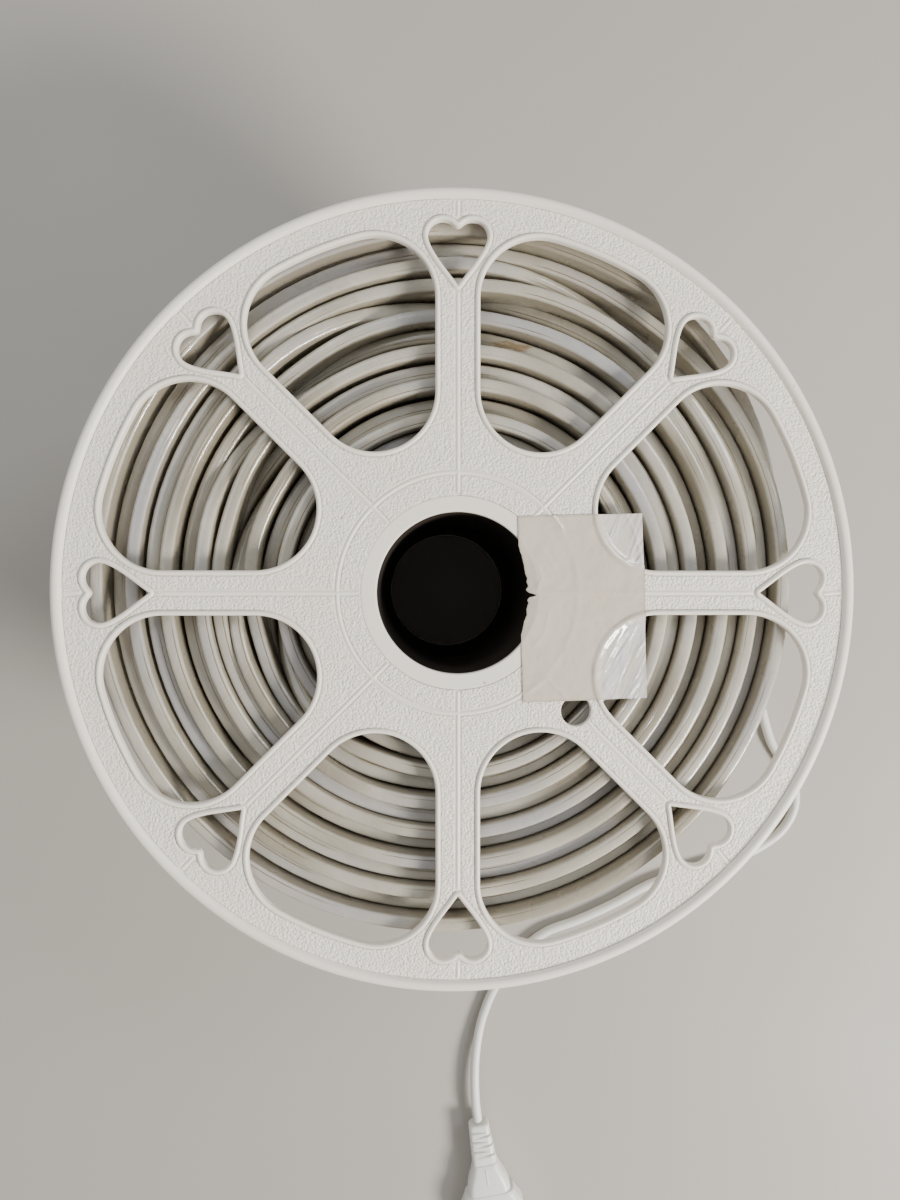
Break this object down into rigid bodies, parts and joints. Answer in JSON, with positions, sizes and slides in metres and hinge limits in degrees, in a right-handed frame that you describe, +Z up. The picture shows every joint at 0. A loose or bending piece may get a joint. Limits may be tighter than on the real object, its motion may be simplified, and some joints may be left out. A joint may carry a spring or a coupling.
{
  "type": "led strip light reel",
  "caption": "Reel of mains LED strip light: spoked white plastic flanges on a dark core, wound strip, feed connector, lead and two-pin plug, lying flat.",
  "frame": {"origin": "where the reel's axis meets the surface it lies on, under the back flange", "axes": "+Z up along the reel's axis towards the front flange, -Y towards the plug, +X to the side where the sticker is"},
  "size_m": [0.3507, 0.5263, 0.158],
  "materials": {
    "flange_plastic": "off-white moulded plastic with fine leather grain",
    "core_plastic": "near-black moulded plastic",
    "strip_sleeve": "glossy translucent off-white extruded sleeve",
    "label_film": "glossy off-white sticker film, unprinted",
    "lead_plastic": "white moulded plastic",
    "cord_sheath": "soft white cable sheath",
    "pin_metal": "nickel plated"
  },
  "bodies": {
    "root": {"flange_front": "flange_plastic", "flange_back": "flange_plastic", "reel_core": "core_plastic", "led_strip_coil": "strip_sleeve", "label": "label_film", "feed_connector": "lead_plastic", "cord_strain_relief": "lead_plastic", "power_cord": "cord_sheath", "plug_strain_relief": "lead_plastic", "plug_body": "lead_plastic", "plug_pin_left": "pin_metal", "plug_pin_right": "pin_metal"}
  },
  "joints": []
}
